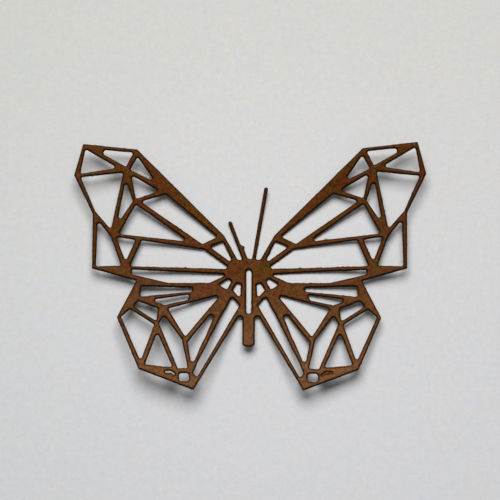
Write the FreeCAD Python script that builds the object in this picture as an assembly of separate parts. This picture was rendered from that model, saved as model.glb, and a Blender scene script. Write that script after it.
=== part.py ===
import FreeCAD, Part
import math
import os

# Butterfly die-cut from one sheet of card, with a faceted pattern of windows like the folds of a paper
# model. Millimetres. It lies on a table, and its wings and rear rise a little from a flat middle. +X is
# its right, +Y is towards its head, +Z is up. The origin is on the underside, in the middle of the head.

# Driving dimensions
WING_SPAN = 90.0  # between the outermost corners of the forewings
CARD_LENGTH = 63.2  # from the tops of the forewings to the points of the hindwings, along Y
THICKNESS = 0.4
BAR_WIDTH = 1.2  # between two windows, at a typical bar
WINDOW_CORNER = 0.42  # radius of the punched windows' corners
OUTLINE_CORNER = 0.3  # radius of the wings' outer corners
NOTCH_CORNER = 0.35  # radius at the foot of the notches beside the antennae

BODY_WIDTH = 3.2
BODY_END = 21.5  # from the origin to the end of the abdomen
BODY_SHOULDER = 0.55  # from the abdomen's end to the corners of its sides
BODY_CORNER = 0.7
BODY_END_RADIUS = 2.0
ARMPIT_RADIUS = 0.65  # between the abdomen and a hindwing
SLOT_WIDTH = 1.3  # down the middle of the body
SLOT_START = 1.65  # from the origin to the slot's upper end
SLOT_LENGTH = 11.2

HEAD_EDGE = 1.0  # from the origin to the head's edge, where the antennae start
NOTCH_WIDTH = 1.25  # between an antenna and a forewing, at the head's edge
ANTENNA_WIDTH = 0.98
ANTENNA_ROOT = 1.23  # from the middle plane to an antenna's axis, at the head's edge
RIGHT_ANTENNA_LENGTH = 18.7
RIGHT_ANTENNA_LEAN = 9.6  # degrees outwards
LEFT_ANTENNA_LENGTH = 10.5  # this one has lost its end
LEFT_ANTENNA_LEAN = 21.4
TORN_ROOT_WIDTH = 1.4  # the left antenna is wider below a torn step on its inner side
TORN_ROOT_LENGTH = 3.3
TORN_STEP = 0.8  # along the antenna
TORN_CORNER = 0.12

HOLE_CORNER = 0.75  # radius of the small rounded hole near each hindwing's point
SLIT_WIDTH = 0.25  # a cut whose chip is still in place
OPEN_SLIT_WIDTH = 0.5  # the same cut where the chip has sunk

# Panels that rise from the table. Each has the direction in which it rises, in degrees from +X towards +Y,
# its rise in degrees, and the distance from the origin to the line where it starts.
RIGHT_FOREWING_PANEL = (74.0, 8.8, 13.5)
LEFT_FOREWING_PANEL = (135.0, 5.4, 7.8)
RIGHT_HINDWING_PANEL = (-18.0, 6.3, 16.3)
LEFT_HINDWING_PANEL = (-122.0, 10.2, 8.8)
REAR_PANEL = (-89.5, 12.7, 12.5)

CUT_MARGIN = 1.0  # how far the cutter passes the card's faces
SHORTEST_SIDE = 0.0001  # between two rounded corners; below this their arcs simply meet

# The pattern, for the right half, was drawn at this span, length and bar width. Its points are in
# millimetres from the origin, and are the sharp corners before rounding. A third number is a corner's
# own radius.
DRAWN_SPAN = 90.0
DRAWN_LENGTH = 63.2
DRAWN_BAR = 1.2

HINDWING_OUTLINE = [
    (14.0, -32.4),  # point
    (28.1, -27.1),  # knee
    (33.8, -13.8),  # hip
    (28.9, -4.5),  # notch between the wings
]
INNER_EDGE_TOP = (1.6, -12.0)  # the hindwing's inner edge runs from its point towards here
FOREWING_OUTLINE = [
    (40.3, -1.3),  # heel
    (40.2, 12.8),  # waist
    (45.0, 22.7),  # outermost corner
    (42.7, 30.8),  # apex
    (28.8, 29.3),  # crest
    (6.4, 7.1),  # shoulder
]

FOREWING_WINDOWS = {
    "apex_outer": [(42.1, 29.4), (33.9, 24.6), (43.4, 23.1)],
    "apex_top": [(39.8, 29.4, 0.65), (29.8, 28.5), (31.7, 24.9)],
    "apex_inner": [(28.7, 27.4), (24.2, 20.9), (30.6, 24.1)],
    "outer_panel": [(43.3, 22.2), (32.4, 23.3), (35.5, 8.8), (39.5, 13.4)],
    "inner_panel": [(30.3, 22.7), (23.2, 18.6), (29.1, 16.6)],
    "sliver": [(31.7, 21.5), (29.9, 16.0), (33.9, 10.2)],
    "leading_panel": [(27.8, 15.9), (21.5, 17.7), (8.2, 6.8), (12.0, 5.0)],
    "middle_panel": [(29.1, 15.1), (15.5, 5.6), (33.4, 7.6)],
    "heel_panel": [(38.9, 11.1), (35.4, 6.6), (32.8, -0.6), (39.3, -0.7)],
    "keystone": [(34.1, 6.8), (29.2, 6.0), (31.7, 0.5)],
    "trailing_panel": [(27.5, 5.9), (11.5, 3.5), (4.7, -1.4), (30.6, -0.8)],
    "root": [(10.0, 4.2), (6.7, 5.5), (3.9, -0.2)],
    "lens": [(30.1, -1.5), (5.6, -2.9, 0.25), (10.2, -5.0), (20.6, -5.0), (30.1, -2.8)],
}
HINDWING_WINDOWS = {
    "root_outer": [(5.2, -4.0), (4.5, -4.6), (5.6, -6.7), (7.7, -5.5)],
    "root_inner": [(3.0, -5.1), (2.0, -5.4), (2.2, -9.0), (4.1, -6.8)],
    "upper_slot": [(27.6, -5.9), (14.4, -6.3), (14.5, -7.2), (27.8, -8.5)],
    "lower_slot": [(25.3, -9.4), (15.0, -8.0), (15.7, -9.4), (21.6, -10.7)],
    "middle_panel": [(20.7, -11.6), (7.3, -8.1), (16.2, -18.8)],
    "inner_slot": [(4.3, -8.6), (2.4, -10.8), (13.2, -29.2), (14.1, -28.0)],
    "hip_slot": [(28.4, -9.7), (23.3, -11.6), (23.6, -14.8), (29.5, -11.1)],
    "hip_panel": [(30.4, -11.8), (24.2, -15.7), (27.6, -25.0), (32.7, -13.7)],
    "inner_panel": [(9.1, -13.4), (10.0, -13.4), (15.6, -20.2), (14.5, -25.9)],
    "long_panel": [(21.7, -13.4), (17.1, -19.5), (15.5, -26.8), (18.0, -26.9), (22.9, -15.5)],
    "knee_panel": [(23.4, -17.7), (19.4, -26.6), (26.5, -25.9)],
}
POINT_HOLE = [(17.8, -28.1), (15.2, -28.1), (15.1, -30.2), (17.7, -30.2)]
POINT_SLIT = [(21.3, -27.8), (19.8, -27.8), (18.8, -28.5)]  # the slit's middle line


def scaled(point):
    return (point[0] * WING_SPAN / DRAWN_SPAN, point[1] * CARD_LENGTH / DRAWN_LENGTH)


def mirrored(corners):
    """The same corners on the left half, in the same sense of turning."""
    return [(-x, y, *rest) for x, y, *rest in reversed(corners)]


def moved_in(points, inset):
    """The polygon with each side moved inwards by the inset."""
    count = len(points)
    area = sum(
        points[i - 1][0] * points[i][1] - points[i][0] * points[i - 1][1] for i in range(count)
    )
    turn = math.copysign(1.0, area)
    sides = []
    for i in range(count):
        (ax, ay), (bx, by) = points[i - 1], points[i]
        length = math.hypot(bx - ax, by - ay)
        ux, uy = (bx - ax) / length, (by - ay) / length
        sides.append((ax - uy * inset * turn, ay + ux * inset * turn, ux, uy))
    moved = []
    for i in range(count):
        ax, ay, ux, uy = sides[i]
        bx, by, vx, vy = sides[(i + 1) % count]
        along = ((bx - ax) * vy - (by - ay) * vx) / (ux * vy - uy * vx)
        moved.append((ax + ux * along, ay + uy * along))
    return moved


def rounded_wire(corners):
    """A closed wire through (x, y, radius) corners. A radius is limited by half of the sides it joins."""
    count = len(corners)
    ends = []
    edges = []
    for i in range(count):
        corner = FreeCAD.Vector(corners[i][0], corners[i][1], 0)
        before = FreeCAD.Vector(*corners[i - 1][:2], 0) - corner
        after = FreeCAD.Vector(*corners[(i + 1) % count][:2], 0) - corner
        half = before.getAngle(after) / 2
        reach = min(corners[i][2] / math.tan(half), before.Length / 2, after.Length / 2)
        radius = reach * math.tan(half)
        before.normalize()
        after.normalize()
        middle = (before + after).normalize() * (radius / math.sin(half) - radius)
        start = corner + before * reach
        end = corner + after * reach
        edges.append(Part.Arc(start, corner + middle, end).toShape())
        ends.append((start, end))
    for i in range(count):
        side_start, side_end = ends[i - 1][1], ends[i][0]
        if (side_end - side_start).Length > SHORTEST_SIDE:
            edges.append(Part.LineSegment(side_start, side_end).toShape())
    return Part.Wire(Part.__sortEdges__(edges))


def antenna(length, lean, torn=False):
    """Corners of a right-hand antenna: up its outer side, round its tip and down its inner side."""
    angle = math.radians(lean)
    ux, uy = math.sin(angle), math.cos(angle)
    outer = ANTENNA_WIDTH / 2

    def at(along, across, radius):
        x = ANTENNA_ROOT + along * ux + across * uy
        y = HEAD_EDGE + along * uy - across * ux
        return (x, y, radius)

    outer_side = [at(0, outer, NOTCH_CORNER), at(length, outer, outer)]
    inner_side = [at(length, -outer, outer)]
    if torn:
        torn_side = outer - TORN_ROOT_WIDTH
        inner_side.append(at(TORN_ROOT_LENGTH + TORN_STEP, -outer, OUTLINE_CORNER))
        inner_side.append(at(TORN_ROOT_LENGTH, torn_side, TORN_CORNER))
        inner_side.append(at(0, torn_side, NOTCH_CORNER))
    else:
        inner_side.append(at(0, -outer, NOTCH_CORNER))
    return outer_side + inner_side


def half_outline(antenna_corners):
    """Corners of the right half's outline, from the end of the abdomen round to the middle of the head."""
    half_body = BODY_WIDTH / 2
    (px, py), (tx, ty) = scaled(HINDWING_OUTLINE[0]), scaled(INNER_EDGE_TOP)
    armpit = py + (px - half_body) * (ty - py) / (px - tx)
    corners = [
        (half_body, BODY_SHOULDER - BODY_END, BODY_CORNER),
        (half_body, armpit, ARMPIT_RADIUS),
    ]
    for outline_point in HINDWING_OUTLINE + FOREWING_OUTLINE:
        corners.append((*scaled(outline_point), OUTLINE_CORNER))
    corners.append((antenna_corners[0][0] + NOTCH_WIDTH, HEAD_EDGE, NOTCH_CORNER))
    return corners + antenna_corners


def outline():
    right = half_outline(antenna(RIGHT_ANTENNA_LENGTH, RIGHT_ANTENNA_LEAN))
    left = half_outline(antenna(LEFT_ANTENNA_LENGTH, LEFT_ANTENNA_LEAN, torn=True))
    body_end = [(0, -BODY_END, BODY_END_RADIUS)]
    return rounded_wire(body_end + right + mirrored(left))


def windows():
    wires = []
    inset = (BAR_WIDTH - DRAWN_BAR) / 2
    for drawn in [*FOREWING_WINDOWS.values(), *HINDWING_WINDOWS.values()]:
        points = moved_in([scaled(point) for point in drawn], inset)
        radii = [point[2] if len(point) > 2 else WINDOW_CORNER for point in drawn]
        corners = [(x, y, radius) for (x, y), radius in zip(points, radii)]
        wires += [rounded_wire(corners), rounded_wire(mirrored(corners))]
    hole = [(*scaled(point), HOLE_CORNER) for point in POINT_HOLE]
    wires += [rounded_wire(hole), rounded_wire(mirrored(hole))]
    return wires


def slit(width):
    """A bent cut of the given width along the slit's middle line, on the right half."""
    first, bend, last = [scaled(point) for point in POINT_SLIT]
    upper = [(x, y + width / 2) for x, y in (first, bend, last)]
    lower = [(x, y - width / 2) for x, y in (last, bend, first)]
    return [(*point, width / 2) for point in upper + lower]


def body_slot():
    half = SLOT_WIDTH / 2
    top = -SLOT_START
    bottom = top - SLOT_LENGTH
    right_side = [(half, bottom, half), (half, top, half)]
    return rounded_wire(right_side + mirrored(right_side))


def raised_sheet():
    """A sheet with a flat middle, from which a panel rises towards each wing and the rear."""
    reach = 2 * max(WING_SPAN, CARD_LENGTH)
    above = Part.makeBox(reach, reach, reach, FreeCAD.Vector(-reach / 2, -reach / 2, 0))
    panels = [
        RIGHT_FOREWING_PANEL,
        LEFT_FOREWING_PANEL,
        RIGHT_HINDWING_PANEL,
        LEFT_HINDWING_PANEL,
        REAR_PANEL,
    ]
    origin = FreeCAD.Vector(0, 0, 0)
    for direction, rise, start in panels:
        below = Part.makeBox(reach, 2 * reach, reach, FreeCAD.Vector(0, -reach, -reach))
        below.rotate(origin, FreeCAD.Vector(0, 1, 0), -rise)
        below.translate(FreeCAD.Vector(start, 0, 0))
        below.rotate(origin, FreeCAD.Vector(0, 0, 1), direction)
        above = above.cut(below)
    return above.cut(above.translated(FreeCAD.Vector(0, 0, THICKNESS)))


def butterfly():
    openings = windows() + [
        body_slot(),
        rounded_wire(slit(SLIT_WIDTH)),
        rounded_wire(mirrored(slit(OPEN_SLIT_WIDTH))),
    ]
    pattern = Part.makeFace([outline()] + openings, "Part::FaceMakerBullseye")
    pattern.translate(FreeCAD.Vector(0, 0, -CUT_MARGIN))
    sheet = raised_sheet()
    cutter = pattern.extrude(FreeCAD.Vector(0, 0, sheet.BoundBox.ZMax + 2 * CUT_MARGIN))
    return sheet.common(cutter)


os.makedirs("parts", exist_ok=True)
card = butterfly()
card.exportStep("parts/butterfly.step")
print("solids", len(card.Solids), "valid", card.isValid(), "volume", round(card.Volume, 2))
print("box", card.BoundBox)
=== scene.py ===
import math

import bmesh
import bpy
import numpy as np
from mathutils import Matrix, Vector, noise
from mathutils.geometry import delaunay_2d_cdt
from mathutils.kdtree import KDTree


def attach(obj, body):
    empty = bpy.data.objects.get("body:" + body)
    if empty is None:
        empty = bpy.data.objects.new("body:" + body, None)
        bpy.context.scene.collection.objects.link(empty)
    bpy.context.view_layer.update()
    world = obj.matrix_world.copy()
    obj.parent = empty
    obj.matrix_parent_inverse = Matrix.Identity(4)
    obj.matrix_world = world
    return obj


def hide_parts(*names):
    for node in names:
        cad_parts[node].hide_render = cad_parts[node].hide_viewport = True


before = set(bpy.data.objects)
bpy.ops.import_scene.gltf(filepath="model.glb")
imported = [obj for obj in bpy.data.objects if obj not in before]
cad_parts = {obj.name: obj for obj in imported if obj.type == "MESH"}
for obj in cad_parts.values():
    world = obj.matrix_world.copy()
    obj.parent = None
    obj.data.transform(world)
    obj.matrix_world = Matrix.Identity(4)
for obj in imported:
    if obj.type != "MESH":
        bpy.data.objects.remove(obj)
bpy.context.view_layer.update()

# The card's lengths are in millimetres up to where its mesh is made, at MM metres each.
MM = 0.001
WELD = 2e-6  # metres, between the frame's vertices that are one
FACING = 0.5  # the least part along Z, up or down, of a normal of the upper face or the underside
LEVEL = 0.005  # the most that a level face's normal leans
SLOPE_DIGITS = 2  # to which the slopes of one panel's faces agree
PANEL_AREA = 2.0  # square millimetres, the least of a raised panel
FILL_TOLERANCE = 1e-5  # between points that are filled in as one
ROW_STEP = math.sqrt(0.75)  # from row to row of a grid of even triangles, for each unit of its spacing
SEED = 7

THICKNESS = 0.4
EDGE_SPACING = 0.24  # between points along an outline
EDGE_CLOSEST = 0.07
DENSE_SPACING = 0.03  # between the points that distances to the edge are measured from
SHOULDER_WIDTH = 0.5  # the upper edge is rounded down into a shoulder
SHOULDER_DROP = 0.15
SHOULDER_POWER = 1.5
SHOULDER_RINGS = (0.03, 0.09, 0.18, 0.28, 0.39, 0.5)  # distances in from the edge
RING_KEPT = 0.85  # of that distance, for a point near a corner
FOOT_INSET = 0.04  # the bottom edge is barely rounded
FOOT_HEIGHT = 0.05
GRID_SPACING = 0.55  # between the upper face's points
GRID_MARGIN = 0.65  # from them to the edge
UNDER_SPACING = 1.2  # and the same for the underside
UNDER_MARGIN = 0.4
MIDDLE_ROUGHNESS = 0.02  # how far the wall's middle wanders in and out
MIDDLE_LENGTH = 0.6
MIDDLE_LAYER = 11.1  # each outline takes its own layer of the noise, this far on
LUMPS = 0.012  # how far the upper face is from even
LUMP_LENGTH = 1.7
LUMP_LAYER = 5.5

# Unevenness of the cut: (depth, wavelength) of each wave
WOBBLES = ((0.035, 3.1), (0.018, 0.9), (0.012, 0.4))
WOBBLE_LAYERS = (7.3, 31.7)  # how far on in the noise each outline and each wave is
BURR_HEIGHT = 0.13
BURR_LEAST = 0.3  # of that height
BURR_LENGTH = 0.35
BURR_GAP = 9.0  # along an outline, on average

# Sides that run nearly along the X axis are rougher, as where a cut crosses the card's grain
ROUGHER = ((0.1, 0.8), (0.06, 0.45))
ROUGHER_LAYERS = (9.1, 17.3)
ROUGHER_LEAN = 0.25  # sine of the angle from the X axis at which the roughness ends

# Bars that are wider or narrower than in the frame: both ends and the change in width
UNEVEN_BARS = (
    ((18.0, -1.5), (23.0, -1.4), 0.1),
    ((25.0, -1.4), (30.0, -1.2), 0.3),
    ((-18.0, -1.5), (-23.0, -1.4), 0.1),
    ((-25.0, -1.4), (-30.0, -1.2), 0.2),
    ((7.5, -12.5), (10.8, -19.0), -0.9),
    ((11.7, -21.0), (13.3, -25.0), -0.5),
    ((-7.5, -12.5), (-10.8, -19.0), -0.9),
    ((-11.7, -21.0), (-13.3, -25.0), -0.5),
    ((10.3, -12.6), (15.6, -19.2), 0.1),
    ((-10.3, -12.6), (-15.6, -19.2), 0.1),
)
BAR_REACH = 1.2  # from a bar's middle line

# Single bumps on a cut side: place, height and length
BUMPS = (
    ((-16.3, -1.2), 0.3, 0.45),
    ((-19.8, -1.3), 0.15, 0.7),
    ((23.9, -1.1), 0.3, 0.45),
    ((-32.2, 17.8), 0.22, 0.5),
    ((-33.3, 16.8), 0.2, 0.7),
    ((-1.5, 4.1), 0.3, 0.6),
)

# Torn fibres: where each starts, its heading in degrees from +X, its length and how pale it is
STRANDS = (
    (-28.4, 23.3, -20, 0.7, 1.0),
    (-27.8, 23.1, 15, 0.6, 1.0),
    (-27.3, 22.8, -25, 0.9, 1.0),
    (-26.7, 22.6, 10, 0.6, 1.0),
    (-26.2, 22.3, -15, 0.7, 1.0),
    (20.0, 6.1, 130, 1.2, 0.1),
)
STRAND_RADIUS = 0.11
STRAND_STEPS = 6
STRAND_SIDES = 5
STRAND_TAPER = 0.5  # of its radius, lost by its end
STRAND_CURL = 25  # degrees, the spread of its turns from step to step

# The chips that are still in the hindwings' thin cuts: path, width, depth below the upper face, how pale
CHIPS = (
    (((-21.4, -27.95), (-19.8, -27.95), (-18.7, -28.65)), 0.42, 0.25, 0.4),
    (((21.5, -27.85), (19.8, -27.85), (18.7, -28.6)), 0.34, 0.12, 0.0),
)
CHIP_THICKNESS = 0.1
CHIP_SIDES = 4

# The card is a little askew, and larger on its right
SKEW = 0.006  # how far it leans to +X for each millimetre of +Y
GROWTH = (0.0001, 0.0002)  # how much larger it is along X and Y for each millimetre of +X

# The card bends less evenly than its plain panels do. For the panel that rises nearest to each direction,
# in degrees from +X towards +Y: the height that it loses, and how much steeper it is.
BENDS = ((74, 0.0, 1.0), (135, 0.25, 1.0), (-18, 0.9, 1.18), (-122, 0.3, 1.0), (-89.5, 0.0, 0.88))
BEND_SOFTNESS = 0.8  # height over which one panel of the card turns into the next

seeded = np.random.default_rng(SEED)


def outline_loops(node):
    """The outlines of the card's upper face, in plan. The card is on the left of each."""
    bm = bmesh.new()
    bm.from_mesh(node.data)
    bmesh.ops.remove_doubles(bm, verts=bm.verts, dist=WELD)
    upper = {face.index for face in bm.faces if face.normal.z > FACING}
    following = {}
    for face in bm.faces:
        if face.index not in upper:
            continue
        for corner in face.loops:
            if sum(other.index in upper for other in corner.edge.link_faces) == 1:
                following[corner.vert.index] = corner.link_loop_next.vert.index
    bm.verts.ensure_lookup_table()
    loops = []
    while following:
        start = min(following)
        loop = [start]
        vertex = following.pop(start)
        while vertex != start:
            loop.append(vertex)
            vertex = following.pop(vertex)
        loops.append(np.array([bm.verts[i].co.xy for i in loop]) / MM)
    bm.free()
    return loops


def resampled(loop):
    """The outline with points near enough to each other for its waves, and none too near."""
    points = []
    for a, b in zip(loop, np.roll(loop, -1, 0)):
        steps = max(1, math.ceil(np.linalg.norm(b - a) / EDGE_SPACING))
        for i in range(steps):
            point = a + (b - a) * i / steps
            if not points or np.linalg.norm(point - points[-1]) > EDGE_CLOSEST:
                points.append(point)
    if np.linalg.norm(points[0] - points[-1]) < EDGE_CLOSEST:
        points.pop()
    return np.array(points)


def inward(loop):
    """The direction into the card at each of an outline's points."""
    along = np.roll(loop, -1, 0) - np.roll(loop, 1, 0)
    along /= np.linalg.norm(along, axis=1)[:, None]
    return np.stack([-along[:, 1], along[:, 0]], 1)


def waves(points, depth, wavelength, layer):
    places = points / wavelength
    return np.array([depth * noise.noise(Vector((x, y, layer))) for x, y in places])


def to_segment(points, start, end):
    """The distance from each point to a straight line between two ends."""
    start, end = np.array(start), np.array(end)
    along = end - start
    part = np.clip((points - start) @ along / (along @ along), 0, 1)
    return np.linalg.norm(points - start - part[:, None] * along, axis=1)


def as_cut(loop, number):
    """The outline with the small waves and burrs that the cutting left."""
    loop = resampled(loop)
    shift = np.zeros(len(loop))
    for i, (depth, wavelength) in enumerate(WOBBLES):
        shift += waves(loop, depth, wavelength, WOBBLE_LAYERS[0] * number + WOBBLE_LAYERS[1] * i)
    rough = np.clip(1 - np.abs(inward(loop)[:, 0]) / ROUGHER_LEAN, 0, 1)
    for i, (depth, wavelength) in enumerate(ROUGHER):
        layer = ROUGHER_LAYERS[0] * number + ROUGHER_LAYERS[1] * i
        shift += rough * waves(loop, depth, wavelength, layer)
    for start, end, change in UNEVEN_BARS:
        shift -= change / 2 * np.exp(-((to_segment(loop, start, end) / BAR_REACH) ** 2))
    for place, height, length in BUMPS:
        shift -= height * np.exp(-((np.linalg.norm(loop - place, axis=1) / (length / 2)) ** 2))
    lengths = np.linalg.norm(np.roll(loop, -1, 0) - loop, axis=1)
    around = np.concatenate([[0], np.cumsum(lengths)[:-1]])
    for _ in range(seeded.poisson(lengths.sum() / BURR_GAP)):
        centre = seeded.uniform(0, lengths.sum())
        height = BURR_HEIGHT * seeded.uniform(BURR_LEAST, 1.0)
        shift -= height * np.exp(-(((around - centre) / (BURR_LENGTH / 2)) ** 2))
    return loop + inward(loop) * shift[:, None]


def panel_planes(node):
    """The raised panels' undersides, as rows of X slope, Y slope and height at the origin."""
    found = {}
    for face in node.data.polygons:
        normal = face.normal
        if normal.z < -FACING and math.hypot(normal.x, normal.y) > LEVEL:
            slopes = (-normal.x / normal.z, -normal.y / normal.z)
            height = (face.center.z - slopes[0] * face.center.x - slopes[1] * face.center.y) / MM
            key = tuple(round(slope, SLOPE_DIGITS) for slope in slopes)
            found.setdefault(key, []).append((face.area, *slopes, height))
    rows = [np.array(group) for group in found.values()]
    large = [group for group in rows if group[:, 0].sum() > PANEL_AREA * MM**2]
    return np.array([np.average(group[:, 1:], axis=0, weights=group[:, 0]) for group in large])


def kept_inside(triangles, borders):
    """The triangles on the left of the border edges, out to the next border."""
    by_edge = {}
    for i, (a, b, c) in enumerate(triangles):
        by_edge[a, b] = by_edge[b, c] = by_edge[c, a] = i
    fence = set(borders)
    stack = [by_edge[edge] for edge in borders if edge in by_edge]
    kept = set(stack)
    while stack:
        a, b, c = triangles[stack.pop()]
        for edge in ((a, b), (b, c), (c, a)):
            across = by_edge.get((edge[1], edge[0]))
            if across is not None and edge not in fence and across not in kept:
                kept.add(across)
                stack.append(across)
    return [triangles[i] for i in sorted(kept)]


def filled(loops, extra):
    """The outlines filled in plan, through the extra points.

    Gives the points, the triangles and, for each outline, the numbers of its points.
    """
    points = np.concatenate(loops + [extra])
    borders = []
    start = 0
    for loop in loops:
        count = len(loop)
        borders += [(start + i, start + (i + 1) % count) for i in range(count)]
        start += count
    made = delaunay_2d_cdt([Vector(point) for point in points], borders, [], 0, FILL_TOLERANCE, True)
    places = np.array([place[:] for place in made[0]])
    number = {source: i for i, sources in enumerate(made[3]) for source in sources}
    turned = []
    for a, b, c in made[2]:
        (ax, ay), (bx, by), (cx, cy) = places[a], places[b], places[c]
        left = (bx - ax) * (cy - ay) > (by - ay) * (cx - ax)
        turned.append((a, b, c) if left else (a, c, b))
    triangles = np.array(kept_inside(turned, [(number[a], number[b]) for a, b in borders]))
    used = np.unique(triangles)
    renumbered = np.full(len(places), -1)
    renumbered[used] = np.arange(len(used))
    rims = []
    start = 0
    for loop in loops:
        rims.append([int(renumbered[number[start + i]]) for i in range(len(loop))])
        start += len(loop)
    return places[used], renumbered[triangles].tolist(), rims


class Card:
    """The card's outlines as cut, and its height over the table."""

    def __init__(self, node):
        self.planes = panel_planes(node)
        for plane in self.planes:
            direction = math.degrees(math.atan2(plane[1], plane[0]))
            _, lost, steeper = min(BENDS, key=lambda bend: abs(bend[0] - direction))
            plane *= steeper
            plane[2] -= lost
        self.loops = [as_cut(loop, number) for number, loop in enumerate(outline_loops(node))]
        dense = []
        for loop in self.loops:
            for a, b in zip(loop, np.roll(loop, -1, 0)):
                steps = max(1, math.ceil(np.linalg.norm(b - a) / DENSE_SPACING))
                dense += [a + (b - a) * i / steps for i in range(steps)]
        self.edge = KDTree(len(dense))
        for i, (x, y) in enumerate(dense):
            self.edge.insert((x, y, 0), i)
        self.edge.balance()
        self.lowest = 0
        self.lowest = self.underside(np.array(dense)).min()

    def from_edge(self, points):
        """The distance from each point to the nearest cut side, in plan."""
        return np.array([self.edge.find((x, y, 0))[2] for x, y in points])

    def underside(self, points):
        """The height of the underside, with the creases between panels softened into bends."""
        heights = points @ self.planes[:, :2].T + self.planes[:, 2]
        return BEND_SOFTNESS * np.log1p(np.exp(heights / BEND_SOFTNESS).sum(1)) - self.lowest

    def shoulder(self, distance):
        """How far the upper face has dropped at that distance from the edge."""
        return SHOULDER_DROP * (1 - np.minimum(distance / SHOULDER_WIDTH, 1)) ** SHOULDER_POWER

    def grid(self, spacing, margin):
        """Points inside the card, on a grid of even triangles."""
        everything = np.concatenate(self.loops)
        lowest, highest = everything.min(0), everything.max(0)
        rows = []
        for j, y in enumerate(np.arange(lowest[1], highest[1], spacing * ROW_STEP)):
            xs = np.arange(lowest[0] + spacing / 2 * (j % 2), highest[0], spacing)
            rows.append(np.stack([xs, np.full(len(xs), y)], 1))
        points = np.concatenate(rows)
        return points[self.from_edge(points) > margin]

    def rings(self):
        """Points along the outlines, on the shoulder."""
        points = []
        for distance in SHOULDER_RINGS:
            for loop in self.loops:
                ring = loop + inward(loop) * distance
                points.append(ring[self.from_edge(ring) > RING_KEPT * distance])
        return np.concatenate(points)


def to_sides(path):
    """The direction across a path at each of its points, to its left."""
    along = np.gradient(path, axis=0)
    return np.stack([-along[:, 1], along[:, 0]], 1) / np.linalg.norm(along, axis=1)[:, None]


def strand(card, x, y, heading, length):
    """A torn fibre that sticks out from a cut side: its vertices and faces."""
    path = [np.array([x, y])]
    for _ in range(STRAND_STEPS):
        heading += seeded.normal(0, STRAND_CURL)
        along = np.array([math.cos(math.radians(heading)), math.sin(math.radians(heading))])
        path.append(path[-1] + along * length / STRAND_STEPS)
    path = np.array(path)
    level = card.underside(path[:1])[0] + THICKNESS
    vertices = []
    for i, (place, side) in enumerate(zip(path, to_sides(path))):
        radius = STRAND_RADIUS * (1 - STRAND_TAPER * i / STRAND_STEPS)
        for k in range(STRAND_SIDES):
            angle = math.tau * k / STRAND_SIDES
            vertices.append((*(place + side * radius * math.cos(angle)), level + radius * math.sin(angle)))
    faces = []
    for i in range(STRAND_STEPS):
        for k in range(STRAND_SIDES):
            low, high = i * STRAND_SIDES + k, i * STRAND_SIDES + (k + 1) % STRAND_SIDES
            faces.append((low, high, high + STRAND_SIDES, low + STRAND_SIDES))
    last = STRAND_STEPS * STRAND_SIDES
    faces.append(tuple(range(STRAND_SIDES - 1, -1, -1)))
    faces.append(tuple(range(last, last + STRAND_SIDES)))
    return np.array(vertices), faces


def chip(card, path, width, sink):
    """A chip that has sunk in a thin cut: its vertices and faces."""
    path = np.array(path)
    top = card.underside(path) + THICKNESS - sink
    vertices = []
    for place, side, high in zip(path, to_sides(path), top):
        low = high - CHIP_THICKNESS
        for edge, height in ((1, high), (-1, high), (-1, low), (1, low)):
            vertices.append((*(place + edge * side * width / 2), height))
    faces = [tuple(range(CHIP_SIDES))]
    last = CHIP_SIDES * (len(path) - 1)
    for start in range(0, last, CHIP_SIDES):
        for k in range(CHIP_SIDES):
            a, b = start + k, start + (k + 1) % CHIP_SIDES
            faces.append((a, a + CHIP_SIDES, b + CHIP_SIDES, b))
    faces.append(tuple(range(last + CHIP_SIDES - 1, last - 1, -1)))
    return np.array(vertices), faces


class Skin:
    """The card's vertices and faces, as they are added.

    Each vertex has its inset from the cut side, whether it is on a cut wall, and how pale a fibre it is.
    """

    def __init__(self):
        self.vertices = []
        self.faces = []
        self.values = {"inset": [], "wall": [], "fibre": []}
        self.count = 0

    def add(self, vertices, faces=(), **values):
        """Add vertices, and faces that count from the first of them. Gives the vertices' numbers."""
        start = self.count
        self.vertices.append(vertices)
        self.faces += [tuple(start + i for i in face) for face in faces]
        for name, parts in self.values.items():
            parts.append(np.full(len(vertices), values.get(name, 0.0)))
        self.count += len(vertices)
        return range(start, self.count)


def add_upper_face(skin, card):
    """The upper face with its rounded shoulders. Gives the numbers of each outline's vertices."""
    extra = np.concatenate([card.rings(), card.grid(GRID_SPACING, GRID_MARGIN)])
    places, faces, rims = filled(card.loops, extra)
    distance = card.from_edge(places)
    distance[[i for rim in rims for i in rim]] = 0
    height = card.underside(places) + THICKNESS - card.shoulder(distance)
    lumps = waves(places, LUMPS, LUMP_LENGTH, LUMP_LAYER)
    height += lumps * np.minimum(distance / SHOULDER_WIDTH, 1)
    numbers = skin.add(np.column_stack([places, height]), faces, inset=distance)
    return [[numbers[i] for i in rim] for rim in rims]


def add_underside(skin, card):
    """The underside. Gives the numbers of each outline's vertices."""
    feet = [loop + inward(loop) * FOOT_INSET for loop in card.loops]
    places, faces, rims = filled(feet, card.grid(UNDER_SPACING, UNDER_MARGIN))
    vertices = np.column_stack([places, card.underside(places)])
    turned = [(a, c, b) for a, b, c in faces]
    numbers = skin.add(vertices, turned, inset=card.from_edge(places))
    return [[numbers[i] for i in rim] for rim in rims]


def add_wall(skin, card, number, rim, lower_rim):
    """The cut wall round one outline, from the upper face's rim to the underside's."""
    loop = card.loops[number]
    foot = card.underside(loop)
    top = foot + THICKNESS - SHOULDER_DROP
    shift = waves(loop, MIDDLE_ROUGHNESS, MIDDLE_LENGTH, MIDDLE_LAYER * number)
    middle = loop + inward(loop) * shift[:, None]
    rows = [rim]
    for places, heights in ((middle, (top + foot + FOOT_HEIGHT) / 2), (loop, foot + FOOT_HEIGHT)):
        rows.append(skin.add(np.column_stack([places, heights]), wall=1.0))
    rows.append(lower_rim)
    for high, low in zip(rows, rows[1:]):
        for i in range(len(loop)):
            j = (i + 1) % len(loop)
            skin.faces.append((low[i], low[j], high[j], high[i]))


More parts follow.
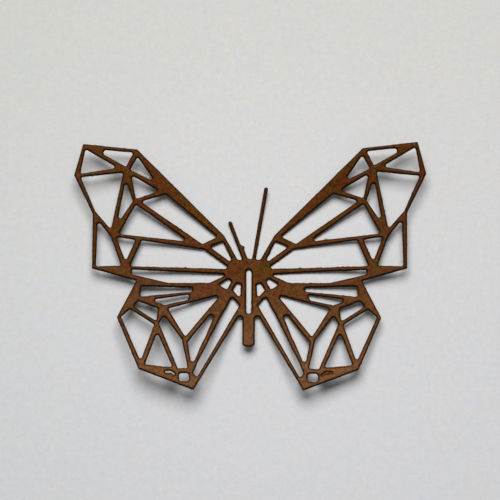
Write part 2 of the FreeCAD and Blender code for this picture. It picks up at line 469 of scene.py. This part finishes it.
def card_mesh(card):
    """The card's closed skin, with its torn fibres and its chips."""
    skin = Skin()
    rims = add_upper_face(skin, card)
    lower_rims = add_underside(skin, card)
    for number, (rim, lower_rim) in enumerate(zip(rims, lower_rims)):
        add_wall(skin, card, number, rim, lower_rim)
    for *row, pale in STRANDS:
        skin.add(*strand(card, *row), inset=1.0, fibre=pale)
    for *row, pale in CHIPS:
        skin.add(*chip(card, *row), inset=1.0, fibre=pale)

    places = np.concatenate(skin.vertices)
    places[:, :2] *= 1 + np.array(GROWTH) * places[:, :1]
    places[:, 0] += SKEW * places[:, 1]
    mesh = bpy.data.meshes.new("butterfly_card")
    mesh.from_pydata((places * MM).tolist(), [], skin.faces)
    for name, parts in skin.values.items():
        attribute = mesh.attributes.new(name, "FLOAT", "POINT")
        attribute.data.foreach_set("value", np.concatenate(parts))
    mesh.polygons.foreach_set("use_smooth", [True] * len(mesh.polygons))
    mesh.update()
    return mesh


class Nodes:
    """A material's node tree, with short calls to add to it."""

    def __init__(self, name):
        self.material = bpy.data.materials.new(name)
        self.material.use_nodes = True
        self.tree = self.material.node_tree
        self.tree.nodes.clear()

    def add(self, kind, inputs=None, **settings):
        node = self.tree.nodes.new("ShaderNode" + kind)
        for key, value in settings.items():
            setattr(node, key, value)
        for key, value in (inputs or {}).items():
            if isinstance(value, bpy.types.NodeSocket):
                self.tree.links.new(value, node.inputs[key])
            else:
                node.inputs[key].default_value = value
        return node

    def noise(self, place, scale, detail, roughness):
        inputs = {"Vector": place, "Scale": scale, "Detail": detail, "Roughness": roughness}
        return self.add("TexNoise", inputs).outputs["Fac"]

    def spread(self, value, low, high, to_low=0.0, to_high=1.0):
        inputs = {"Value": value, "From Min": low, "From Max": high, "To Min": to_low, "To Max": to_high}
        return self.add("MapRange", inputs).outputs["Result"]

    def mixed(self, factor, a, b, blend="MIX"):
        """Two colours mixed. The node has its colours at inputs 6 and 7 and at output 2."""
        inputs = {0: factor, 6: a, 7: b}
        return self.add("Mix", inputs, data_type="RGBA", blend_type=blend).outputs[2]

    def way(self, place, direction, limits):
        """A value that changes between limits along a direction."""
        inputs = {0: place, 1: direction}
        along = self.add("VectorMath", inputs, operation="DOT_PRODUCT").outputs["Value"]
        return self.spread(along, *limits)

    def maths(self, operation, a, b):
        return self.add("Math", {0: a, 1: b}, operation=operation).outputs[0]

    def attribute(self, name):
        """One of the values that the skin's vertices have."""
        return self.add("Attribute", attribute_name=name).outputs["Fac"]

    def times(self, colour, other):
        """One colour multiplied by the other."""
        return self.mixed(1.0, colour, other, "MULTIPLY")

    def shaded(self, colour, shade):
        """A colour multiplied by a grey."""
        return self.times(colour, self.add("CombineColor", {0: shade, 1: shade, 2: shade}).outputs[0])

    def finished(self, inputs):
        """The material, whose one shader has these inputs."""
        shader = self.add("BsdfPrincipled", inputs)
        self.add("OutputMaterial", {"Surface": shader.outputs[0]})
        return self.material


def srgb(red, green, blue):
    """A colour given as 0 to 255 in sRGB, as the shader's linear one."""
    parts = [part / 255 for part in (red, green, blue)]
    return [p / 12.92 if p <= 0.04045 else ((p + 0.055) / 1.055) ** 2.4 for p in parts] + [1.0]


# The card's colours. Its face is reddish and olive in patches
REDDISH = srgb(95, 42, 10)
OLIVE = srgb(84, 55, 4)
# The painted sheen's paler colour
PAINTED_SHEEN_COLOUR = srgb(106, 64, 24)
# The rim: the cut edge's char, darkened further as painted shade along every edge
CHAR_AND_SHADE_RIM = srgb(34, 16, 9)
# The cut wall: charred, and darker still as painted shade
CHAR_AND_SHADE_CUT_WALL = srgb(18, 9, 6)
TORN = srgb(228, 216, 198)
CHAR_AND_SHADE_RIM_WIDTH = 0.5
CHAR_AND_SHADE_RIM_STRENGTH = 0.8  # the part of the rim's colour at the very edge

# The card's colour changes over it: painted shade darkens it towards the head, and painted sheen makes it
# paler towards the rear and the far left. Each way: the place along that direction in metres, from and to,
# and the painted shade or the part with painted sheen, from and to
SHADE_WAY = (-0.3, -1.0, 0.0)
SHADE = (-0.04, 0.0, 0.9, 1.0)
REAR_WAY = (0.1, -1.0, 0.0)
REAR_PAINTED_SHEEN = (0.004, 0.025, 0.0, 1.0)
LEFT_WAY = (-1.0, 0.0, 0.0)
LEFT_PAINTED_SHEEN = (0.03, 0.055, 0.0, 0.35)

# Noise in the card: its scale for a metre, detail and roughness. Then its values, from and to, and what
# they turn into, which is 0 to 1 for the patches
PATCHES = (260, 4.0, 0.75)
PATCH_SPREAD = (0.36, 0.64)
FLECKS = (1300, 3.0, 1.0)
FLECK_SPREAD = (0.34, 0.66, 0.33, 1.67)
GLINTS = (800, 3.0, 1.0)
GLINT_SPREAD = (0.35, 0.65, 0.6, 0.2)
GLINTS_FROM = (1.0, 1.0, 1.0)  # metres, so that they don't follow the flecks
SPECULAR = 0.145

# Relief that the card has only in its shading
PRESSED_WIDTH = 0.5  # of the rounding at the edge
PRESSED_DEPTH = 0.54
PRESSED_POWER = 1.3
FIBRES = (2600, 3.0, 0.7)
FIBRE_STRETCH = (1.0, 2.6, 1.0)
FIBRE_TURN = (0, 0, 0.5)  # radians
GRAIN = (900, 2.0, 0.5)
RELIEF_STRENGTH = 0.6
RELIEF_HEIGHT = 0.0001  # metres


def card_colour(nodes, place, inset):
    patches = nodes.spread(nodes.noise(place, *PATCHES), *PATCH_SPREAD)
    colour = nodes.mixed(patches, REDDISH, OLIVE)
    # Painted sheen: paler towards the rear and the far left
    rear = nodes.way(place, REAR_WAY, REAR_PAINTED_SHEEN)
    left = nodes.way(place, LEFT_WAY, LEFT_PAINTED_SHEEN)
    colour = nodes.mixed(nodes.maths("ADD", rear, left), colour, PAINTED_SHEEN_COLOUR)
    flecks = nodes.spread(nodes.noise(place, *FLECKS), *FLECK_SPREAD)
    # Painted shade: the flecks' grey is darker towards the head
    colour = nodes.shaded(colour, nodes.maths("MULTIPLY", flecks, nodes.way(place, SHADE_WAY, SHADE)))
    # Char with painted shade: the rim darkens towards every cut edge
    rim = nodes.spread(inset, 0.0, CHAR_AND_SHADE_RIM_WIDTH, CHAR_AND_SHADE_RIM_STRENGTH, 0.0)
    colour = nodes.mixed(rim, colour, CHAR_AND_SHADE_RIM)
    # The cut walls take their charred colour, darkened further as painted shade
    colour = nodes.mixed(nodes.attribute("wall"), colour, CHAR_AND_SHADE_CUT_WALL)
    return nodes.mixed(nodes.attribute("fibre"), colour, TORN)


def card_relief(nodes, place, inset):
    pressed = nodes.spread(inset, 0.0, PRESSED_WIDTH, 1.0, 0.0)
    pressed = nodes.maths("POWER", pressed, PRESSED_POWER)
    inputs = {"Strength": 1.0, "Distance": PRESSED_DEPTH * MM, "Height": pressed}
    edge = nodes.add("Bump", inputs, invert=True).outputs[0]
    inputs = {"Vector": place, "Scale": FIBRE_STRETCH, "Rotation": FIBRE_TURN}
    stretched = nodes.add("Mapping", inputs).outputs[0]
    relief = nodes.maths("ADD", nodes.noise(stretched, *FIBRES), nodes.noise(place, *GRAIN))
    inputs = {"Strength": RELIEF_STRENGTH, "Distance": RELIEF_HEIGHT, "Height": relief, "Normal": edge}
    return nodes.add("Bump", inputs).outputs[0]


def card_material():
    nodes = Nodes("brown_card")
    place = nodes.add("TexCoord").outputs["Object"]
    inset = nodes.attribute("inset")
    apart = nodes.add("VectorMath", {0: place, 1: GLINTS_FROM}).outputs[0]
    inputs = {
        "Base Color": card_colour(nodes, place, inset),
        "Roughness": nodes.spread(nodes.noise(apart, *GLINTS), *GLINT_SPREAD),
        "Normal": card_relief(nodes, place, inset),
        "Specular IOR Level": SPECULAR,
    }
    return nodes.finished(inputs)


# The table's paper: its colours, and in metres where one turns into the other away from the middle, a
# painted falloff that darkens the paper away from the middle. The tints are painted light: they multiply
# its colour from the front to the rear and from the left to the right, TINT_REACH metres each way, and the
# clouds do so in patches
NEAR_COLOUR = srgb(218, 217, 218)
PAINTED_FALLOFF_COLOUR = srgb(211, 211, 210)
PAINTED_FALLOFF_REACH = (0.03, 0.09)
TINT_REACH = 0.06
FRONT_PAINTED_TINT = (1.005, 1.015, 1.045, 1.0)
REAR_PAINTED_TINT = (0.99, 0.995, 0.96, 1.0)
LEFT_PAINTED_SHADE = (0.98, 0.985, 0.98, 1.0)
RIGHT_PAINTED_LIGHT = (1.01, 1.005, 1.01, 1.0)
COOL_CLOUD = (0.975, 1.0, 1.035, 1.0)
WARM_CLOUD = (1.025, 1.0, 0.965, 1.0)
CLOUDS = (110, 4.0, 1.0)
TOOTH = (600, 4.0, 1.0)
PAPER_SPREAD = (0.3, 0.7)
TOOTH_SHADES = (0.94, 1.06)
TOOTH_STRENGTH = 0.15
TOOTH_HEIGHT = 0.00005  # metres
PAPER_ROUGHNESS = 0.9
PAPER_SPECULAR = 0.1


def paper_colour(nodes, place, tooth):
    away = nodes.add("VectorMath", {0: place}, operation="LENGTH").outputs["Value"]
    # Painted falloff: the paper darkens away from the middle
    colour = nodes.mixed(nodes.spread(away, *PAINTED_FALLOFF_REACH), NEAR_COLOUR, PAINTED_FALLOFF_COLOUR)
    across, forward, _ = nodes.add("SeparateXYZ", {0: place}).outputs
    # Painted light: the paper is bluer towards -Y, yellower and a little darker towards +Y, and darker
    # towards -X
    for along, low, high in ((forward, FRONT_PAINTED_TINT, REAR_PAINTED_TINT), (across, LEFT_PAINTED_SHADE, RIGHT_PAINTED_LIGHT)):
        part = nodes.spread(along, -TINT_REACH, TINT_REACH)
        colour = nodes.times(colour, nodes.mixed(part, low, high))
    clouds = nodes.spread(nodes.noise(place, *CLOUDS), *PAPER_SPREAD)
    colour = nodes.times(colour, nodes.mixed(clouds, COOL_CLOUD, WARM_CLOUD))
    return nodes.shaded(colour, nodes.spread(tooth, *PAPER_SPREAD, *TOOTH_SHADES))


def paper_material():
    nodes = Nodes("table_paper")
    place = nodes.add("TexCoord").outputs["Object"]
    tooth = nodes.noise(place, *TOOTH)
    inputs = {"Strength": TOOTH_STRENGTH, "Distance": TOOTH_HEIGHT, "Height": tooth}
    bump = nodes.add("Bump", inputs).outputs[0]
    inputs = {
        "Base Color": paper_colour(nodes, place, tooth),
        "Roughness": PAPER_ROUGHNESS,
        "Normal": bump,
        "Specular IOR Level": PAPER_SPECULAR,
    }
    return nodes.finished(inputs)


def piece(name, mesh, material):
    mesh.materials.append(material)
    made = bpy.data.objects.new(name, mesh)
    bpy.context.collection.objects.link(made)
    return made


FLOOR_REACH = 2.0  # metres, from the middle to each side
FLOOR_DROP = 0.00002  # metres below the card


def table():
    signs = ((-1, -1), (1, -1), (1, 1), (-1, 1))
    corners = [(x * FLOOR_REACH, y * FLOOR_REACH, -FLOOR_DROP) for x, y in signs]
    mesh = bpy.data.meshes.new("table_top")
    mesh.from_pydata(corners, [], [(0, 1, 2, 3)])
    piece("table_top", mesh, paper_material())


# The window's light. Angles are in degrees, the azimuth from +X towards +Y, and lengths in metres
LAMP_ELEVATION = 46
LAMP_AZIMUTH = 92.5
LAMP_DISTANCE = 3.0
LAMP_WIDTH = 2.7
LAMP_HEIGHT = 1.95
LAMP_POWER = 118.8  # watts
WORLD_LEVEL = 0.14


def lights():
    data = bpy.data.lights.new("window", "AREA")
    data.shape = "ELLIPSE"
    data.size = LAMP_WIDTH
    data.size_y = LAMP_HEIGHT
    data.energy = LAMP_POWER
    lamp = bpy.data.objects.new("window", data)
    up, round_z = math.radians(LAMP_ELEVATION), math.radians(LAMP_AZIMUTH)
    towards = Vector((math.cos(up) * math.cos(round_z), math.cos(up) * math.sin(round_z), math.sin(up)))
    lamp.location = towards * LAMP_DISTANCE
    lamp.rotation_euler = towards.to_track_quat("Z", "Y").to_euler()
    bpy.context.collection.objects.link(lamp)
    world = bpy.data.worlds.new("room")
    world.use_nodes = True
    tree = world.node_tree
    tree.nodes["Background"].inputs["Color"].default_value = (1, 1, 1, 1)
    tree.nodes["Background"].inputs["Strength"].default_value = WORLD_LEVEL
    bpy.context.scene.world = world


# The camera looks straight down. Its lengths are in metres, apart from the sensor's in millimetres
VIEW_WIDTH = 0.12816  # at the height of the table
CAMERA_HEIGHT = 1.0
VIEW_CENTRE = (0.00026, 0.00344)
SENSOR = 36.0


def camera():
    data = bpy.data.cameras.new("camera")
    data.sensor_width = SENSOR
    data.lens = SENSOR * CAMERA_HEIGHT / VIEW_WIDTH
    made = bpy.data.objects.new("camera", data)
    made.location = (*VIEW_CENTRE, CAMERA_HEIGHT)
    bpy.context.collection.objects.link(made)
    bpy.context.scene.camera = made


bpy.context.scene.view_settings.view_transform = "Standard"
camera()
lights()
table()
card = Card(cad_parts["butterfly"])
butterfly = piece("butterfly_card", card_mesh(card), card_material())
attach(butterfly, "root")
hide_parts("butterfly")
